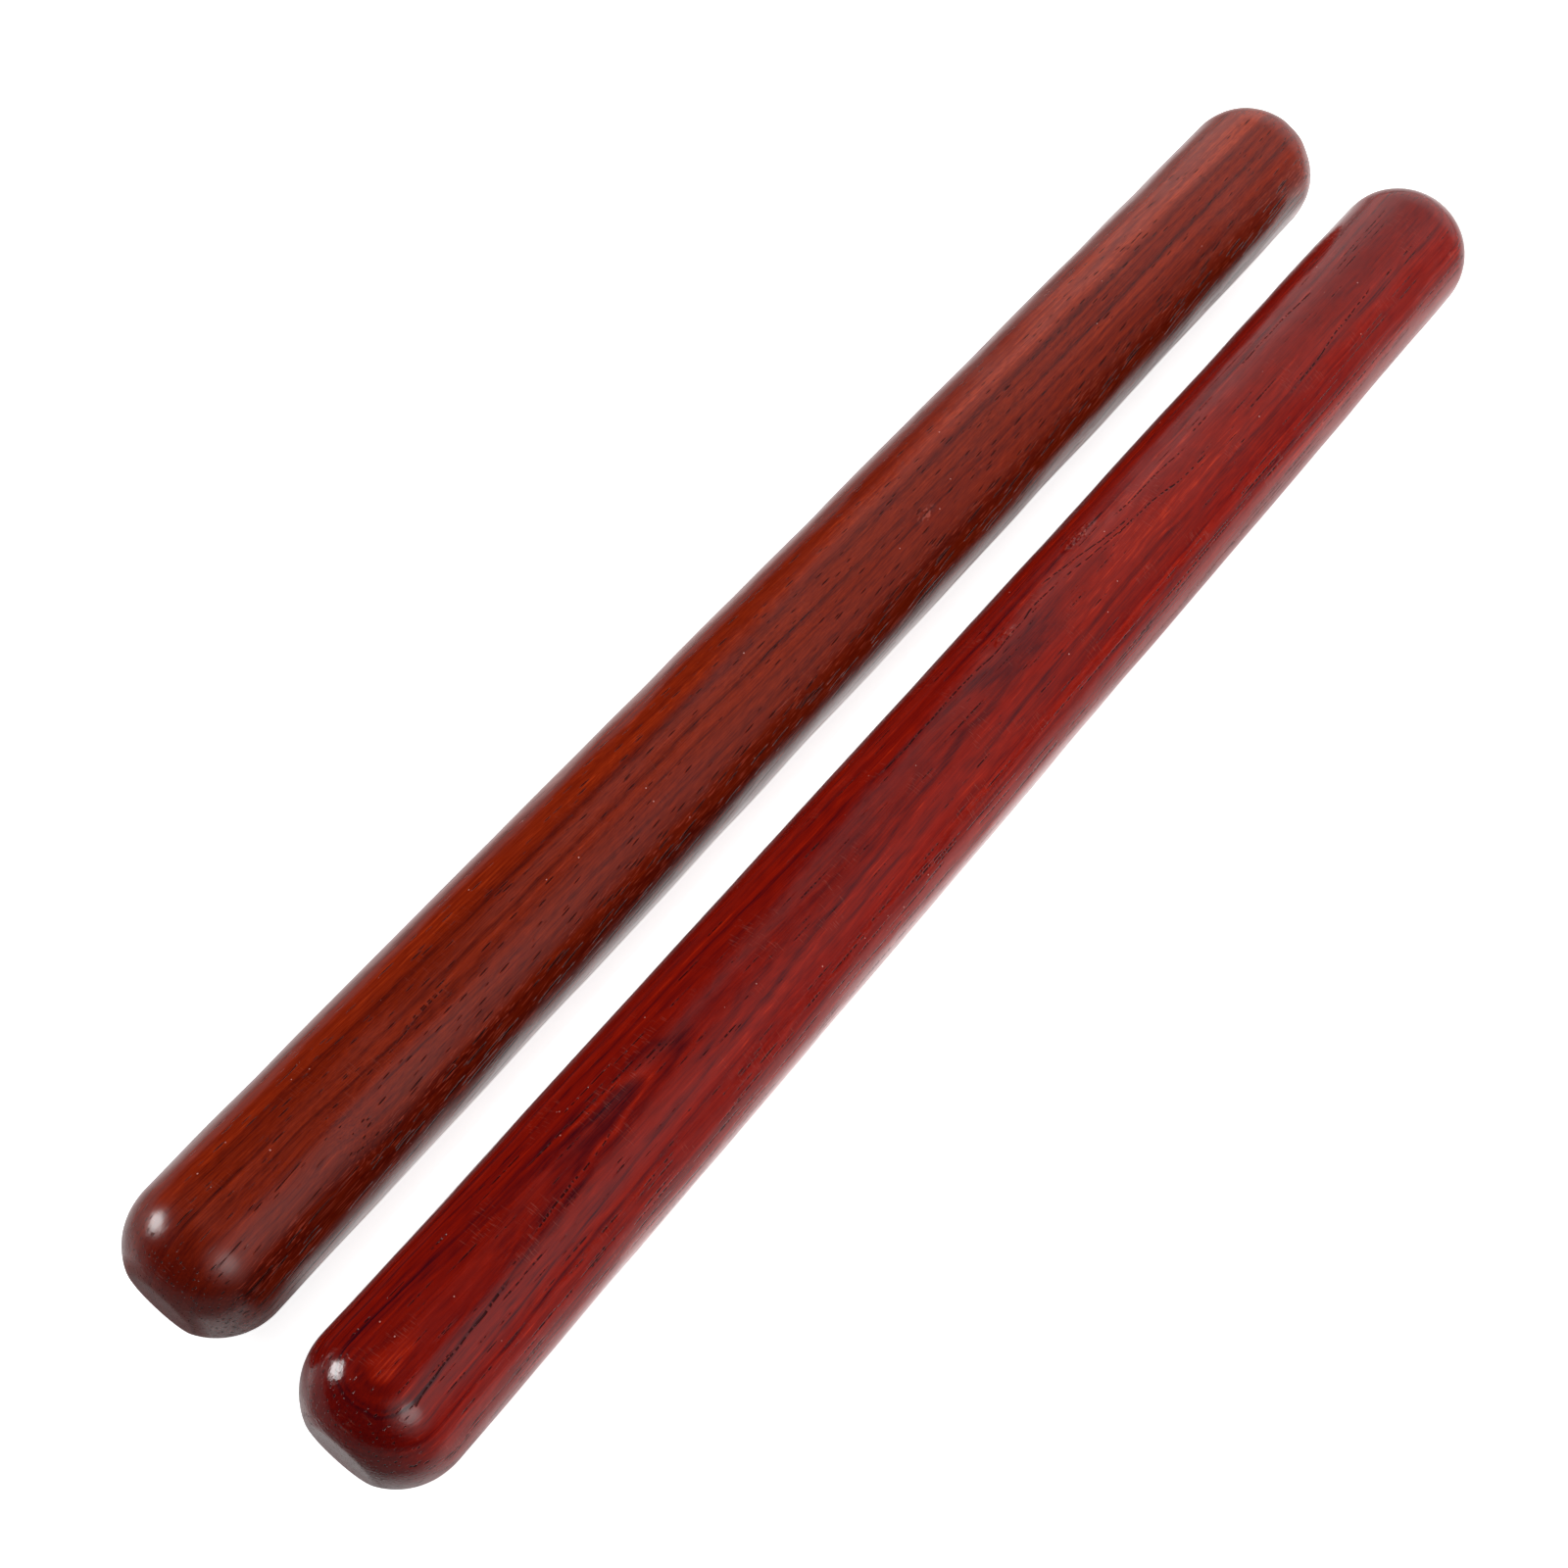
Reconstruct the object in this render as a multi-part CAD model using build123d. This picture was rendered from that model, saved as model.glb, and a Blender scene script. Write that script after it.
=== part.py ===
from build123d import *

import math
import os

# Claves: a pair of loose, solid, round hardwood sticks that are struck together.
# They lie side by side on a flat surface, parallel and with their ends level.
#
# Millimetres, +Z up. Both sticks lie along X. The origin is on the surface,
# midway between the sticks and midway along them.

# Driving dimensions
LENGTH = 200.0  # of one stick, end to end
DIAMETER = 17.0  # of the straight part
END_ARC_RADIUS = 7.3  # of the arc that rounds the side over to the end
END_FLAT_RADIUS = 4.0  # of the small flat disc left at the middle of each end
SPACING = 22.5  # between the sticks' axes as they lie

# Worked out from them
RADIUS = DIAMETER / 2
ARC_CENTRE_RADIUS = RADIUS - END_ARC_RADIUS  # keeps the arc tangent to the side
ARC_REACH = math.sqrt(END_ARC_RADIUS**2 - (END_FLAT_RADIUS - ARC_CENTRE_RADIUS) ** 2)
HALF_LENGTH = LENGTH / 2
HALF_STRAIGHT = HALF_LENGTH - ARC_REACH  # where the rounding of an end begins


def half_outline():
    """Closed outline of the stick's upper half, from its axis to its side, in the XY plane."""
    with BuildLine() as outline:
        axis_line = Line((-HALF_LENGTH, 0), (HALF_LENGTH, 0))
        far_flat = Line(axis_line @ 1, (HALF_LENGTH, END_FLAT_RADIUS))
        far_arc = RadiusArc(far_flat @ 1, (HALF_STRAIGHT, RADIUS), -END_ARC_RADIUS)
        side = Line(far_arc @ 1, (-HALF_STRAIGHT, RADIUS))
        near_arc = RadiusArc(side @ 1, (-HALF_LENGTH, END_FLAT_RADIUS), -END_ARC_RADIUS)
        Line(near_arc @ 1, axis_line @ 0)
    return outline.line


def stick():
    """One clave, turned about the X axis."""
    with BuildPart() as turned:
        with BuildSketch(Plane.XY):
            with BuildLine():
                add(half_outline())
            make_face()
        revolve(axis=Axis.X)
    return turned.part


# The stick cupped in one hand lies on the +Y side, the one that strikes it on the -Y side.
SIDE_OF_NODE = {"holding_clave": 1, "striking_clave": -1}

os.makedirs("parts", exist_ok=True)
for node, side in SIDE_OF_NODE.items():
    placed = Pos(0, side * SPACING / 2, RADIUS) * stick()
    placed.label = node
    export_step(placed, f"parts/{node}.step")

print(f"straight part {2 * HALF_STRAIGHT:.2f} mm, gap between the sticks {SPACING - DIAMETER:.2f} mm")
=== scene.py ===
import math

import bmesh
import bpy
from mathutils import Matrix, Vector, noise


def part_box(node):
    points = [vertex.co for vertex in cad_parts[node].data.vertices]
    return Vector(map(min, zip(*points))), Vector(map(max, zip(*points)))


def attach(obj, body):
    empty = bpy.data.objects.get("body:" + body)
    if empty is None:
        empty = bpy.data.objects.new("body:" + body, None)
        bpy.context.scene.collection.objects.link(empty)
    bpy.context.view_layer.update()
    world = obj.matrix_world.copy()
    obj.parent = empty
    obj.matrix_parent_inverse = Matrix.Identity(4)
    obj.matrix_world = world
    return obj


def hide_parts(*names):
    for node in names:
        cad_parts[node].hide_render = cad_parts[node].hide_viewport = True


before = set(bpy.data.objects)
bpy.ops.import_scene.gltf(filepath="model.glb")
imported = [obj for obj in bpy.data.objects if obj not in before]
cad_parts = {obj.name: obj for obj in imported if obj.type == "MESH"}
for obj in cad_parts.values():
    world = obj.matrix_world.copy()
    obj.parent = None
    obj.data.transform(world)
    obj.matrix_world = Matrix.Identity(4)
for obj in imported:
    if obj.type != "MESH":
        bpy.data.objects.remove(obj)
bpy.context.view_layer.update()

MM = 0.001

# Camera: where its axis meets the floor, how far it stands back, and how it is turned
CAMERA_AIM = Vector((-14.16, 3.88, 0)) * MM
CAMERA_DISTANCE = 256.06 * MM
CAMERA_HEADING = math.radians(-56.84)
CAMERA_ELEVATION = math.radians(57.67)
CAMERA_ROLL = math.radians(5.04)
CAMERA_LENS = 52.99

# The turned shape of a stick, in millimetres. Length and diameter come from the frame.
END_ARC_RADIUS = 7.3
END_FLAT_RADIUS = 4.0
CORNER_REACH = 0.35  # how far the softened corner of the flat runs along each side
RINGS_ON_FLAT = 10
RINGS_ON_CORNER = 5
RINGS_ON_ARC = 26
RING_STEP = 0.62  # between rings on the straight part
SIDES = 224
STICK_RADIUS = 8.5  # where knots, pits and scuffs lie
SANDING_WAVE = 26.0  # length of the long waves that hand sanding leaves
SANDING_FACET = 9.0  # length of its faint facets

# The wide pale panel that the lacquer reflects from the far side
PANEL_AZIMUTH = 79
PANEL_LEVEL = 0.78
WALL_LEVEL = 0.4  # of the dim wall to its right
WINDOW_LEVEL = 2.6  # of the small soft light on the near right

PORE_SPACING = 0.54  # mm between the vessels of the wood
FLOOR_SIZE = 4.0  # metres, along each side
# Strips of floor that are lit from below: (y, change in light towards +X, where it starts in x)
LIT_STRIPS = ((0.0, -0.45, -0.096), (-0.0225, -0.8, -0.086))


# ---------------------------------------------------------------- meshes


def end_outline(half_length, radius):
    """(x, r) points in mm of the +X end, from the middle of its flat to the straight part."""
    arc_centre_r = radius - END_ARC_RADIUS
    start_angle = math.acos((END_FLAT_RADIUS - arc_centre_r) / END_ARC_RADIUS)
    arc_centre_x = half_length - END_ARC_RADIUS * math.sin(start_angle)

    def on_arc(angle):
        x = arc_centre_x + END_ARC_RADIUS * math.sin(angle)
        return Vector((x, arc_centre_r + END_ARC_RADIUS * math.cos(angle)))

    corner = Vector((half_length, END_FLAT_RADIUS))
    before = corner - Vector((0, CORNER_REACH))
    after_angle = start_angle - CORNER_REACH / END_ARC_RADIUS
    after = on_arc(after_angle)
    points = [Vector((half_length, before.y * i / RINGS_ON_FLAT)) for i in range(1, RINGS_ON_FLAT)]
    for i in range(RINGS_ON_CORNER + 1):
        t = i / RINGS_ON_CORNER
        points.append(before * (1 - t) ** 2 + corner * 2 * t * (1 - t) + after * t**2)
    points += [on_arc(after_angle * (1 - i / RINGS_ON_ARC)) for i in range(1, RINGS_ON_ARC + 1)]
    return points


def outline(half_length, radius):
    """(x, r) points in mm of the whole stick, from the -X end to the +X end, without the two centres."""
    end = end_outline(half_length, radius)
    straight = end[-1].x
    steps = round(2 * straight / RING_STEP)
    side = [Vector((-straight + 2 * straight * i / steps, radius)) for i in range(1, steps)]
    return [Vector((-p.x, p.y)) for p in end] + side + end[::-1]


def hand_sanding(x, around, seed, depth):
    """Wood taken off by hand sanding, in mm and always above 0: long waves, then faint facets."""
    y, z = math.cos(around), math.sin(around)
    long_wave = noise.noise(Vector((x / SANDING_WAVE + seed, y * 0.9, z * 0.9)))
    facet = noise.noise(Vector((x / SANDING_FACET, y * 2.6 + seed, z * 2.6)))
    wave = 0.1 + 0.7 * long_wave + 0.5 * facet
    return depth * (wave + math.hypot(wave, 0.14)) / 2


def stick_mesh(name, half_length, radius, seed, depth):
    """The surface of one clave about its own centre, in metres."""
    shape = bmesh.new()
    rows = []
    for point in outline(half_length, radius):
        row = []
        for i in range(SIDES):
            around = 2 * math.pi * i / SIDES
            fade = min(1.0, point.y / radius)
            r = point.y - hand_sanding(point.x, around, seed, depth) * fade
            y, z = r * math.sin(around) * MM, r * math.cos(around) * MM
            row.append(shape.verts.new((point.x * MM, y, z)))
        rows.append(row)
    for low, high in zip(rows, rows[1:]):
        for i in range(SIDES):
            j = (i + 1) % SIDES
            shape.faces.new((low[i], high[i], high[j], low[j]))
    for row, side in ((rows[0], -1), (rows[-1], 1)):
        centre = shape.verts.new((side * half_length * MM, 0, 0))
        for i in range(SIDES):
            j = (i + 1) % SIDES
            shape.faces.new((row[i], row[j], centre) if side < 0 else (row[j], row[i], centre))
    bmesh.ops.recalc_face_normals(shape, faces=shape.faces)
    mesh = bpy.data.meshes.new(name)
    shape.to_mesh(mesh)
    shape.free()
    mesh.shade_smooth()
    return mesh


# ---------------------------------------------------------------- materials


class Graph:
    """Adds nodes to one node tree and links them. Every method but node gives an output socket."""

    def __init__(self, tree):
        self.tree = tree

    def feed(self, socket, value):
        if isinstance(value, bpy.types.NodeSocket):
            self.tree.links.new(value, socket)
        else:
            socket.default_value = value

    def node(self, kind, inputs, **settings):
        added = self.tree.nodes.new(kind)
        for name, value in settings.items():
            setattr(added, name, value)
        for name, value in inputs.items():
            self.feed(added.inputs[name], value)
        return added

    def math(self, operation, *values):
        added = self.node("ShaderNodeMath", {}, operation=operation)
        for socket, value in zip(added.inputs, values):
            self.feed(socket, value)
        return added.outputs[0]

    def vector(self, operation, *values):
        added = self.node("ShaderNodeVectorMath", {}, operation=operation)
        for socket, value in zip(added.inputs, values):
            self.feed(socket, value)
        return added.outputs["Value" if operation in ("LENGTH", "DISTANCE", "DOT_PRODUCT") else "Vector"]

    def split(self, vector):
        return tuple(self.node("ShaderNodeSeparateXYZ", {"Vector": vector}).outputs)

    def join(self, x, y, z=0.0):
        return self.node("ShaderNodeCombineXYZ", {"X": x, "Y": y, "Z": z}).outputs[0]

    def noise(self, place, detail, output="Fac"):
        inputs = {"Vector": place, "Scale": 1.0, "Detail": detail, "Roughness": 0.5}
        return self.node("ShaderNodeTexNoise", inputs).outputs[output]

    def step(self, value, low, high):
        """0 below low and 1 above high, smooth between; low may be above high."""
        inputs = {"Value": value, "From Min": low, "From Max": high}
        return self.node("ShaderNodeMapRange", inputs, interpolation_type="SMOOTHSTEP").outputs["Result"]

    def mix(self, factor, first, second, blend="MIX"):
        added = self.node("ShaderNodeMix", {}, data_type="RGBA", blend_type=blend)
        for index, value in ((0, factor), (6, first), (7, second)):
            self.feed(added.inputs[index], value)
        return added.outputs[2]


def colour(red, green, blue):
    """A linear colour from its display values, 0 to 255."""
    def linear(value):
        value /= 255
        return value / 12.92 if value <= 0.04045 else ((value + 0.055) / 1.055) ** 2.4
    return (linear(red), linear(green), linear(blue), 1.0)


# The two blocks of wood. Lengths are in mm, slopes in mm per mm, and angles in degrees round the
# stick, from the top towards -Y.
#   sway, lift   the grain runs straight along +X where x is large; going towards -X it bends away
#                by these slopes, towards +Y and downward
#   rise         slope of the fibres upward along +X
#   layers       unit vector (y, z) across the growth layers
#   veins_and_painted_shade  layers of another shade, and two bands of painted shade on the holding
#                clave: (height, half thickness, shade, where it fades in), the shade darker above 0 and
#                    lighter below
#   wobble       how far the layers waver
#   flecks       strength of the short flecks
#   roughness    of the lacquer
#   turning      height of the ridges left by the lathe
#   dull_ends    roughness added over the rounded ends
#   sawn         roughness added on the flat ends
#   scratches    strength of the fine cross scratches, 0 to 1
#   dotted       how far the vessels are broken into dots, 0 to 1
#   bore         least radius of a vessel
#   painted_glint_fibres  strength of the pale fibre streaks painted on the -Y flank as glints of the lit
#   floor
#   vessel       length over which a vessel opens and closes
#   shift        where along the block the stick was cut
#   pit_rows     rows of open pits: (x, angle) of the start, then of the end
#   scuffs       rubbed places: (x, angle, half length, half width)
#   knots        where the grain bends round a knot: (x, angle, size, push)
#   shades       colours from dark to pale wood, with their places on the ramp
#   end_shade    colour that the ends tend to
#   pore         colour inside the vessels
GRAIN_BEND = 30.0
THROUGHOUT = (1000, 400)  # a fade that ends well off the stick, for a vein that runs all along it
WOODS = {
    "holding_clave": {
        "sway": 0.0285,
        "lift": 0.0,
        "rise": 0.12,
        "layers": (-1.0, 0.0),
        "veins_and_painted_shade": (
            (0.1, 0.45, 0.22, THROUGHOUT),
            (1.15, 0.10, 0.14, THROUGHOUT),
            (2.6, 0.22, 0.24, THROUGHOUT),
            (4.0, 0.12, 0.22, THROUGHOUT),
            (5.95, 0.20, 0.24, THROUGHOUT),
            # painted shade: these two bands darken the -Y flank, which faces the striking clave
            (7.4, 0.50, 0.12, THROUGHOUT),
            (9.3, 0.80, 0.16, THROUGHOUT),
            (-2.1, 1.20, -0.12, THROUGHOUT),
            (-2.3, 2.20, -0.26, (-20, 70)),
        ),
        "wobble": 0.5,
        "flecks": 0.25,
        "roughness": 0.125,
        "turning": 0.0011,
        "dull_ends": 0.08,
        "sawn": 0.38,
        "scratches": 0.4,
        "dotted": 0.0,
        "bore": 0.03,
        "painted_glint_fibres": 0.7,
        "vessel": 5.0,
        "shift": 0.0,
        "pit_rows": (
            (-70.0, 14.5, -61.0, 12.5),
            (-68.5, 12.5, -62.5, 11.5),
            (-80.0, -27.0, -74.0, -28.0),
        ),
        "scuffs": ((15.5, 26.0, 1.5, 0.7),),
        "knots": ((-81.0, 35.0, 3.2, 1.1),),
        "shades": (
            (0.0, colour(46, 9, 7)),
            (0.28, colour(86, 16, 4)),
            (0.5, colour(105, 24, 4)),
            (0.72, colour(121, 31, 6)),
            (1.0, colour(152, 47, 12)),
        ),
        "end_shade": colour(84, 7, 5),
        "pore": colour(42, 5, 2),
    },
    "striking_clave": {
        "sway": 0.03,
        "lift": 0.026,
        "rise": 0.012,
        "layers": (0.0, 1.0),
        "veins_and_painted_shade": (
            (9.93, 0.10, 0.34, THROUGHOUT),
            (10.08, 0.05, -0.24, THROUGHOUT),
            (10.22, 0.05, 0.22, THROUGHOUT),
            (10.4, 0.05, -0.16, THROUGHOUT),
            (10.6, 0.06, 0.12, THROUGHOUT),
            (10.93, 0.08, -0.26, THROUGHOUT),
            (8.75, 0.09, 0.24, THROUGHOUT),
            (7.75, 0.13, 0.30, THROUGHOUT),
            (6.3, 0.09, 0.18, THROUGHOUT),
            (5.0, 0.12, 0.22, THROUGHOUT),
        ),
        "wobble": 0.42,
        "flecks": 0.45,
        "roughness": 0.09,
        "turning": 0.0006,
        "dull_ends": 0.0,
        "sawn": 0.16,
        "scratches": 1.0,
        "dotted": 0.75,
        "bore": 0.04,
        "painted_glint_fibres": 0.0,
        "vessel": 4.0,
        "shift": 37.0,
        "pit_rows": (
            (-95.0, 31.0, -80.0, 22.0),
            (-76.0, 15.0, -63.0, 10.0),
            (-16.0, -16.0, 17.0, -13.0),
            (17.0, -12.0, 43.0, 9.0),
            (15.0, -23.0, 30.0, -4.0),
            (28.0, -16.0, 42.0, -9.0),
            (56.0, -23.0, 73.0, -18.0),
            (57.0, 25.0, 78.0, 17.0),
        ),
        "scuffs": ((24.0, -28.0, 2.8, 0.8), (7.0, -16.0, 1.6, 0.5)),
        "knots": (),
        "shades": (
            (0.0, colour(50, 4, 12)),
            (0.28, colour(88, 8, 7)),
            (0.5, colour(107, 12, 4)),
            (0.72, colour(124, 17, 4)),
            (1.0, colour(166, 40, 10)),
        ),
        "end_shade": colour(78, 4, 7),
        "pore": colour(36, 2, 4),
    },
}


def wood(name, look):
    """Lacquered hardwood, cut from one solid block: figure, fibres, pores, scratches and gloss."""
    material = bpy.data.materials.new(name)
    material.use_nodes = True
    tree = material.node_tree
    tree.nodes.clear()
    g = Graph(tree)

    metres = g.node("ShaderNodeTexCoord", {}).outputs["Object"]
    place = g.vector("MULTIPLY", metres, (1000.0, 1000.0, 1000.0))
    x, y, z = g.split(place)
    at_end = g.step(g.math("ABSOLUTE", x), 93.0, 99.0)
    bend_root = g.math("SQRT", g.math("MULTIPLY_ADD", x, x, GRAIN_BEND**2))
    bend = g.math("MULTIPLY", g.math("SUBTRACT", bend_root, x), 0.5)
    across = g.math("MULTIPLY_ADD", bend, -look["sway"], y)
    up = g.math("MULTIPLY_ADD", bend, look["lift"], z)
    up = g.math("MULTIPLY_ADD", x, -look["rise"], up)
    for knot_x, knot_angle, size, push in look["knots"]:
        turn = math.radians(knot_angle)
        outward = Vector((0.0, -math.sin(turn), math.cos(turn)))
        centre = Vector((knot_x, 0.0, 0.0)) + outward * STICK_RADIUS
        near = g.math("DIVIDE", g.vector("DISTANCE", place, centre), size)
        bulge = g.math("EXPONENT", g.math("MULTIPLY", g.math("MULTIPLY", near, near), -1.0))
        bulge = g.math("MULTIPLY", bulge, push)
        across = g.math("MULTIPLY_ADD", bulge, outward.y, across)
        up = g.math("MULTIPLY_ADD", bulge, outward.z, up)
    straight = g.join(g.math("ADD", x, look["shift"]), across, up)

    def fibres(source, along, thick, number, detail=1.0):
        """Noise of fibres `along` mm long and `thick` mm thick."""
        stretch = (1 / along, 1 / thick, 1 / thick)
        scaled = g.vector("MULTIPLY_ADD", source, stretch, (number, number, -number))
        return g.noise(scaled, detail)

    drift = g.noise(g.vector("MULTIPLY", straight, (0.03, 0.12, 0.12)), 1.0, output="Color")
    drift = g.vector("SUBTRACT", drift, (0.5, 0.5, 0.5))
    grain = g.vector("MULTIPLY_ADD", drift, (0.0, 1.6, 1.6), straight)

    wobble = g.math("SUBTRACT", fibres(straight, 9.0, 2.6, 4.0, 2.0), 0.5)
    layer = g.vector("DOT_PRODUCT", straight, (0.0, *look["layers"]))
    layer = g.math("MULTIPLY_ADD", wobble, look["wobble"], layer)
    layer = g.math("MULTIPLY_ADD", x, look["rise"] * look["layers"][1], layer)

    def layers(thick, along, number, detail=1.0):
        """Noise that follows the growth layers: `thick` mm through them, `along` mm down the stick."""
        return g.noise(g.join(g.math("DIVIDE", layer, thick), g.math("DIVIDE", x, along), number), detail)

    tone = g.math("MULTIPLY_ADD", layers(1.8, 80.0, 2.0), 0.6, 0.2)
    for part, share in (
        (layers(0.45, 45.0, 7.0), 0.38),
        (layers(0.14, 36.0, 11.0), 0.47),
        (fibres(grain, 20.0, 0.16, 5.0, 2.0), 0.68),
        (fibres(grain, 2.4, 0.5, 9.0), look["flecks"]),
    ):
        tone = g.math("MULTIPLY_ADD", g.math("SUBTRACT", part, 0.5), share, tone)
    patchy = g.math("MULTIPLY_ADD", g.step(layers(0.6, 22.0, 13.0), 0.35, 0.55), 0.6, 0.4)
    # growth layers of another shade, and the bands of painted shade that the table gives
    for height, half, darkness, (fade_start, fade_end) in look["veins_and_painted_shade"]:
        away = g.math("ABSOLUTE", g.math("SUBTRACT", layer, height))
        band = g.math("MULTIPLY", g.step(away, 1.6 * half, 0.3 * half), patchy)
        band = g.math("MULTIPLY", band, g.step(x, fade_start, fade_end))
        band = g.math("MULTIPLY", band, g.math("MULTIPLY_ADD", at_end, -0.5, 1.0))
        tone = g.math("MULTIPLY_ADD", band, -darkness, tone)

    ramp = g.node("ShaderNodeValToRGB", {"Fac": tone})
    stops = ramp.color_ramp.elements
    for index, (position, shade) in enumerate(look["shades"]):
        stop = stops[index] if index < 2 else stops.new(position)
        stop.position = position
        stop.color = shade
    shade = ramp.outputs["Color"]

    # vessels: tubes along the fibres, which the surface cuts into dashes and the ends into dots
    _, tube_y, tube_z = g.split(g.vector("MULTIPLY_ADD", drift, (0.0, 0.35, 0.35), straight))
    section = g.join(g.math("DIVIDE", tube_y, PORE_SPACING), g.math("DIVIDE", tube_z, PORE_SPACING))
    cells = g.node("ShaderNodeTexVoronoi", {"Vector": section, "Scale": 1.0}, voronoi_dimensions="2D")
    away = g.math("MULTIPLY", cells.outputs["Distance"], PORE_SPACING)
    lot = g.split(cells.outputs["Color"])
    lots = g.vector("MULTIPLY", cells.outputs["Color"], (60.0, 60.0, 60.0))
    flank = g.step(y, -5.0, -7.5)
    gate = g.noise(g.vector("MULTIPLY_ADD", straight, (1 / look["vessel"], 0.0, 0.0), lots), 0.0)
    open_here = g.step(g.math("MULTIPLY_ADD", flank, 0.16, gate), 0.48, 0.56)
    open_here = g.math("MAXIMUM", open_here, g.step(g.math("ABSOLUTE", x), 95.5, 98.0))
    dots = g.step(g.noise(g.vector("MULTIPLY_ADD", straight, (2.4, 0.0, 0.0), lots), 0.0), 0.44, 0.54)
    dotted = g.math("MULTIPLY_ADD", g.math("SUBTRACT", dots, 1.0), look["dotted"], 1.0)
    bore = g.math("MULTIPLY_ADD", lot[2], 0.05, look["bore"])
    bore = g.math("MULTIPLY_ADD", flank, 0.04, bore)
    inside = g.step(g.math("SUBTRACT", away, bore), 0.02, -0.02)
    pore = g.math("MULTIPLY", g.math("MULTIPLY", inside, open_here), dotted)

    # rows of open pits, where one vessel runs just under the surface
    round_place = g.math("MULTIPLY", g.math("ARCTAN2", g.math("MULTIPLY", y, -1.0), z), STICK_RADIUS)
    pits = g.step(g.noise(g.vector("MULTIPLY", place, (2.6, 0.5, 0.5)), 0.0), 0.40, 0.50)
    wavy = g.math("MULTIPLY_ADD", wobble, 1.4, round_place)
    for start_x, start_angle, end_x, end_angle in look["pit_rows"]:
        start, end = math.radians(start_angle) * STICK_RADIUS, math.radians(end_angle) * STICK_RADIUS
        slope = (end - start) / (end_x - start_x)
        line = g.math("MULTIPLY_ADD", x, slope, start - start_x * slope)
        away = g.math("ABSOLUTE", g.math("SUBTRACT", wavy, line))
        from_middle = g.math("ABSOLUTE", g.math("SUBTRACT", x, (start_x + end_x) / 2))
        half_row = (end_x - start_x) / 2
        row = g.math("MULTIPLY", g.step(away, 0.105, 0.05), g.step(from_middle, half_row, half_row - 1.5))
        pore = g.math("MAXIMUM", pore, g.math("MULTIPLY", row, pits))
    shade = g.mix(g.math("MULTIPLY", at_end, 0.5), shade, look["end_shade"])
    shade = g.mix(g.math("MULTIPLY", pore, 0.92), shade, look["pore"])
    # painted highlight: pale fibre streaks on the -Y flank alone, where the lit floor glints on the
    # fibres
    pale = g.math("MULTIPLY", g.step(fibres(grain, 5.0, 0.14, 21.0), 0.58, 0.67), g.step(y, -5.5, -7.0))
    shade = g.mix(g.math("MULTIPLY", pale, look["painted_glint_fibres"]), shade, colour(158, 62, 44))

    # fine marks of sanding across the stick, in a few patches
    scratch = g.step(g.noise(g.vector("MULTIPLY", place, (10.0, 0.8, 0.8)), 1.0), 0.6, 0.72)
    patch = g.step(g.noise(g.vector("MULTIPLY", place, (0.14, 0.25, 0.25)), 1.0), 0.54, 0.64)
    scratch = g.math("MULTIPLY", g.math("MULTIPLY", scratch, patch), look["scratches"])
    shade = g.mix(g.math("MULTIPLY", scratch, 0.09), shade, colour(190, 110, 90))

    # dust in the lacquer, painted as pale specks that also stand for the glints it catches
    dust_glint_cells = g.node("ShaderNodeTexVoronoi", {"Vector": place, "Scale": 0.5})
    kept = g.step(g.split(dust_glint_cells.outputs["Color"])[0], 0.5, 0.55)
    dust_and_glint = g.math("MULTIPLY", g.step(dust_glint_cells.outputs["Distance"], 0.05, 0.03), kept)
    shade = g.mix(g.math("MULTIPLY", dust_and_glint, 0.6), shade, colour(205, 150, 140))

    # small rubbed places
    rubbed = 0.0
    for scuff_x, scuff_angle, half_length, half_width in look["scuffs"]:
        along = g.math("DIVIDE", g.math("SUBTRACT", x, scuff_x), half_length)
        beside = g.math("SUBTRACT", round_place, math.radians(scuff_angle) * STICK_RADIUS)
        beside = g.math("DIVIDE", beside, half_width)
        square = g.math("MULTIPLY_ADD", along, along, g.math("MULTIPLY", beside, beside))
        rubbed = g.math("MAXIMUM", g.step(square, 1.6, 0.2), rubbed)
    crumbs = g.noise(g.vector("MULTIPLY", place, (1.6, 3.0, 3.0)), 2.0)
    worn = g.math("MULTIPLY", g.math("MULTIPLY", rubbed, g.step(crumbs, 0.5, 0.66)), 0.4)
    shade = g.mix(worn, shade, colour(168, 80, 66))

    peel = g.noise(g.vector("MULTIPLY", place, (0.35, 0.5, 0.5)), 2.0)
    height = g.math("MULTIPLY", pore, -0.055)
    height = g.math("MULTIPLY_ADD", tone, 0.006, height)
    height = g.math("MULTIPLY_ADD", scratch, -0.003, height)
    height = g.math("MULTIPLY_ADD", peel, 0.035, height)
    height = g.math("MULTIPLY_ADD", g.math("MULTIPLY", rubbed, crumbs), 0.12, height)

    end_grain = g.step(g.math("ABSOLUTE", x), 98.9, 99.8)
    sawn = g.noise(g.vector("MULTIPLY", place, (1.0, 2.0, 5.0)), 2.0)
    height = g.math("MULTIPLY_ADD", g.math("MULTIPLY", end_grain, sawn), 0.08, height)
    cut_fibres = g.noise(g.vector("MULTIPLY", place, (3.0, 4.5, 4.5)), 1.0)
    height = g.math("MULTIPLY_ADD", g.math("MULTIPLY", at_end, cut_fibres), 0.02, height)
    ridges = g.math("MULTIPLY_ADD", at_end, 4.0, 1.0)
    turning = g.noise(g.vector("MULTIPLY", place, (5.0, 0.3, 0.3)), 1.0)
    height = g.math("MULTIPLY_ADD", g.math("MULTIPLY", turning, ridges), look["turning"], height)
    bump = g.node("ShaderNodeBump", {"Height": height, "Distance": 0.001, "Strength": 1.0})

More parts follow.
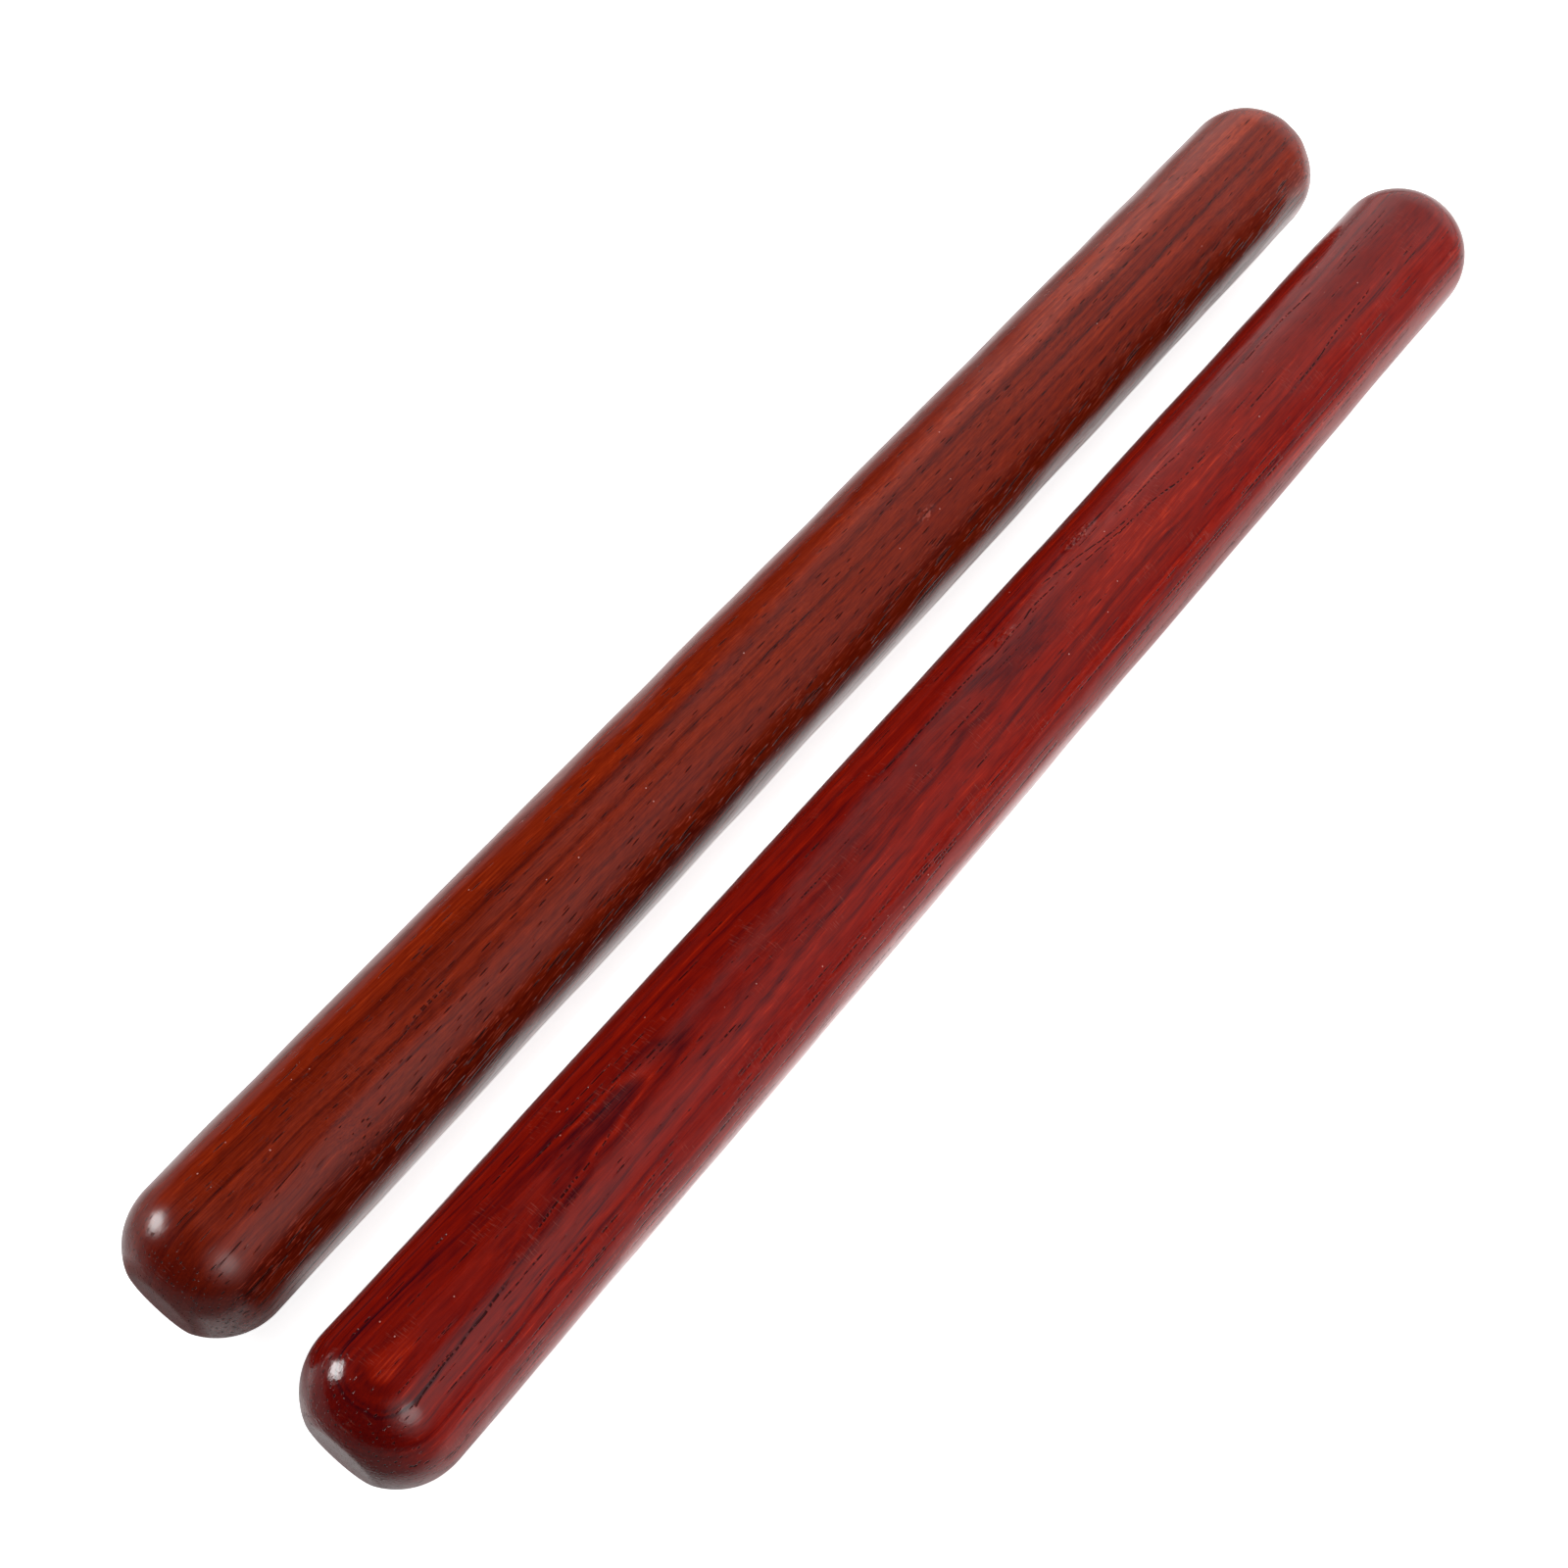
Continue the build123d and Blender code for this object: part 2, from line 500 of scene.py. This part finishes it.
    rough = g.math("MULTIPLY_ADD", peel, 0.08, look["roughness"])
    rough = g.math("MULTIPLY_ADD", end_grain, look["sawn"], rough)
    rough = g.math("MULTIPLY_ADD", g.step(g.math("ABSOLUTE", x), 88.0, 96.0), look["dull_ends"], rough)
    rough = g.math("MULTIPLY_ADD", scratch, 0.10, rough)
    rough = g.math("MULTIPLY_ADD", pore, 0.08, rough)

    # open vessels are matt, most of all on the flat ends
    matt = g.math("MULTIPLY", pore, g.math("MULTIPLY_ADD", end_grain, 0.6, 1.0))
    shader = g.node(
        "ShaderNodeBsdfPrincipled",
        {
            "Base Color": shade,
            "Roughness": rough,
            "IOR": 1.5,
            "Specular IOR Level": g.math("MULTIPLY_ADD", matt, -0.3, 0.5),
            "Normal": bump.outputs[0],
        },
    )
    g.node("ShaderNodeOutputMaterial", {"Surface": shader.outputs[0]})
    return material


def floor_material():
    """A pale floor with a painted pool of light: it darkens away from the sticks. Its glow hides hard
    shadows from the eye.

    Between the sticks and beside them it is lit from below, most of all in a strip along the -Y
    side of each. The strips shine weaker towards +X.
    """
    material = bpy.data.materials.new("pale_floor")
    material.use_nodes = True
    tree = material.node_tree
    tree.nodes.clear()
    g = Graph(tree)
    x, y, _ = g.split(g.node("ShaderNodeTexCoord", {}).outputs["Object"])
    # painted pool of light: the floor's own colour is paler round the sticks and darker beside them, in
    # front of their -X ends and past x = 0.09
    near = g.math("MULTIPLY", g.step(y, 0.064, 0.031), g.step(y, -0.075, -0.025))
    near = g.math("MULTIPLY", near, g.step(g.math("MULTIPLY_ADD", y, 0.3, x), -0.118, -0.104))
    near = g.math("MULTIPLY", near, g.math("MULTIPLY_ADD", g.step(x, 0.09, 0.14), -0.4, 1.0))
    grey = g.math("MULTIPLY_ADD", near, 0.6, 0.22)
    towards_x = g.step(x, 0.008, 0.026)
    lit = g.math("MULTIPLY", g.math("MULTIPLY", g.step(y, 0.005, 0.002), g.step(y, -0.032, -0.014)), 0.5)
    lit = g.math("MULTIPLY", lit, g.step(g.math("ABSOLUTE", g.math("ADD", x, 0.096)), 0.005, 0.009))
    for strip_y, change, start_x in LIT_STRIPS:
        beside = g.math("SUBTRACT", y, strip_y)
        strip = g.math("MULTIPLY", g.step(beside, 0.0055, 0.003), g.step(beside, -0.006, -0.0015))
        strip = g.math("MULTIPLY", strip, g.step(x, start_x, start_x + 0.02))
        lit = g.math("MULTIPLY_ADD", strip, g.math("MULTIPLY_ADD", towards_x, change, 0.6), lit)
    lit = g.math("MULTIPLY", lit, near)
    seen = g.node("ShaderNodeLightPath", {}).outputs["Is Camera Ray"]
    shader = g.node(
        "ShaderNodeBsdfPrincipled",
        {
            "Base Color": g.join(grey, grey, grey),
            "Roughness": 0.8,
            "Specular IOR Level": 0.2,
            "Emission Color": (1, 1, 1, 1),
            "Emission Strength": g.math("MAXIMUM", g.math("MULTIPLY", seen, 0.85), lit),
        },
    )
    g.node("ShaderNodeOutputMaterial", {"Surface": shader.outputs[0]})
    return material


# ---------------------------------------------------------------- scene


def add_stick(node, body, slot, seed, depth):
    """Builds the visible clave over its CAD solid, at the place and size that the solid has.

    seed and depth (in mm) are those of its hand sanding.
    """
    low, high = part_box(node)
    size = (high - low) / MM
    radius = size.y / 2
    name = node + "_wood"
    piece = bpy.data.objects.new(name, stick_mesh(name, size.x / 2, radius, seed, depth))
    bpy.context.scene.collection.objects.link(piece)
    piece.location = ((low.x + high.x) / 2, (low.y + high.y) / 2, radius * MM)
    piece.data.materials.append(wood(slot, WOODS[node]))
    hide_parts(node)
    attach(piece, body)


def add_floor():
    shape = bmesh.new()
    half = FLOOR_SIZE / 2
    corners = ((-half, -half, 0), (half, -half, 0), (half, half, 0), (-half, half, 0))
    shape.faces.new([shape.verts.new(corner) for corner in corners])
    mesh = bpy.data.meshes.new("floor")
    shape.to_mesh(mesh)
    shape.free()
    floor = bpy.data.objects.new("floor", mesh)
    bpy.context.scene.collection.objects.link(floor)
    mesh.materials.append(floor_material())


def add_camera():
    turned = (
        Matrix.Rotation(CAMERA_HEADING, 3, "Z")
        @ Matrix.Rotation(math.pi / 2 - CAMERA_ELEVATION, 3, "X")
        @ Matrix.Rotation(CAMERA_ROLL, 3, "Z")
    )
    camera = bpy.data.objects.new("camera", bpy.data.cameras.new("camera"))
    bpy.context.scene.collection.objects.link(camera)
    camera.data.lens = CAMERA_LENS
    camera.data.sensor_width = 36
    camera.data.clip_start = 0.01
    place = CAMERA_AIM + turned @ Vector((0, 0, CAMERA_DISTANCE))
    camera.matrix_world = Matrix.Translation(place) @ turned.to_4x4()
    bpy.context.scene.camera = camera


def direction(azimuth, elevation):
    """Unit vector; azimuth 0 is +Y and 90 is +X."""
    a, e = math.radians(azimuth), math.radians(elevation)
    return Vector((math.sin(a) * math.cos(e), math.cos(a) * math.cos(e), math.sin(e)))


def softbox(name, azimuth, elevation, distance, width, height, watts, in_gloss=True):
    """A rectangular soft light that faces the sticks. Angles are in degrees, lengths in metres."""
    light = bpy.data.lights.new(name, "AREA")
    light.shape = "RECTANGLE"
    light.size = width
    light.size_y = height
    light.energy = watts
    lamp = bpy.data.objects.new(name, light)
    bpy.context.scene.collection.objects.link(lamp)
    towards = direction(azimuth, elevation)
    lamp.location = towards * distance
    lamp.rotation_euler = towards.to_track_quat("Z", "Y").to_euler()
    lamp.visible_glossy = in_gloss


def add_world():
    """A dark studio: a wide pale panel on the far side, a dim wall to its right and a soft window."""
    world = bpy.data.worlds.new("studio")
    bpy.context.scene.world = world
    world.use_nodes = True
    tree = world.node_tree
    tree.nodes.clear()
    g = Graph(tree)
    look = g.node("ShaderNodeTexCoord", {}).outputs["Generated"]
    up = g.node("ShaderNodeSeparateXYZ", {"Vector": look}).outputs[2]
    level_look = g.vector("NORMALIZE", g.vector("MULTIPLY", look, (1.0, 1.0, 0.0)))
    rightward = g.vector("DOT_PRODUCT", level_look, direction(PANEL_AZIMUTH + 90, 0))
    ahead = g.vector("DOT_PRODUCT", level_look, direction(PANEL_AZIMUTH, 0))
    in_width = g.math("MULTIPLY", g.step(rightward, -0.72, -0.52), g.step(rightward, 0.95, 0.5))
    in_width = g.math("MULTIPLY", in_width, g.step(ahead, 0.0, 0.2))
    in_height = g.node("ShaderNodeMapRange", {"Value": up, "From Min": 1.1, "From Max": 0.45}).outputs[0]
    panel = g.math("MULTIPLY", g.math("MULTIPLY", in_width, in_height), PANEL_LEVEL)
    wall = g.vector("DOT_PRODUCT", look, direction(170, 46))
    wall = g.math("MULTIPLY", g.step(wall, 0.66, 1.0), WALL_LEVEL)
    level = g.math("MULTIPLY", g.math("MAXIMUM", panel, wall), g.step(up, 0.94, 0.87))
    window = g.vector("DOT_PRODUCT", look, direction(-166, 41))
    level = g.math("MULTIPLY_ADD", g.step(window, 0.955, 1.0), WINDOW_LEVEL, level)
    level = g.math("MULTIPLY_ADD", g.step(window, 0.80, 0.97), 0.3, level)
    level = g.math("ADD", level, 0.012)
    seen = g.node("ShaderNodeLightPath", {}).outputs["Is Camera Ray"]
    strength = g.math("MAXIMUM", level, g.math("MULTIPLY", seen, 0.95))
    shader = g.node("ShaderNodeBackground", {"Color": (1, 1, 1, 1), "Strength": strength})
    g.node("ShaderNodeOutputWorld", {"Surface": shader.outputs[0]})


bpy.context.scene.view_settings.view_transform = "Standard"
add_camera()
add_floor()
add_stick("holding_clave", "holding", "holding_wood", 3.1, 0.26)
add_stick("striking_clave", "striking", "striking_wood", 11.7, 0.20)
add_world()
softbox("left_softbox", -27, 20, 1.0, 0.30, 0.33, 4.4)
softbox("left_fill", -15, 40, 1.2, 0.9, 0.6, 2.0, in_gloss=False)
softbox("low_left_fill", 62, 14, 0.45, 0.3, 0.15, 0.75, in_gloss=False)
softbox("right_fill", 145, 7.5, 0.7, 0.8, 0.16, 6.7, in_gloss=False)
softbox("ceiling_fill", 60, 77, 0.5, 0.4, 0.4, 1.5, in_gloss=False)
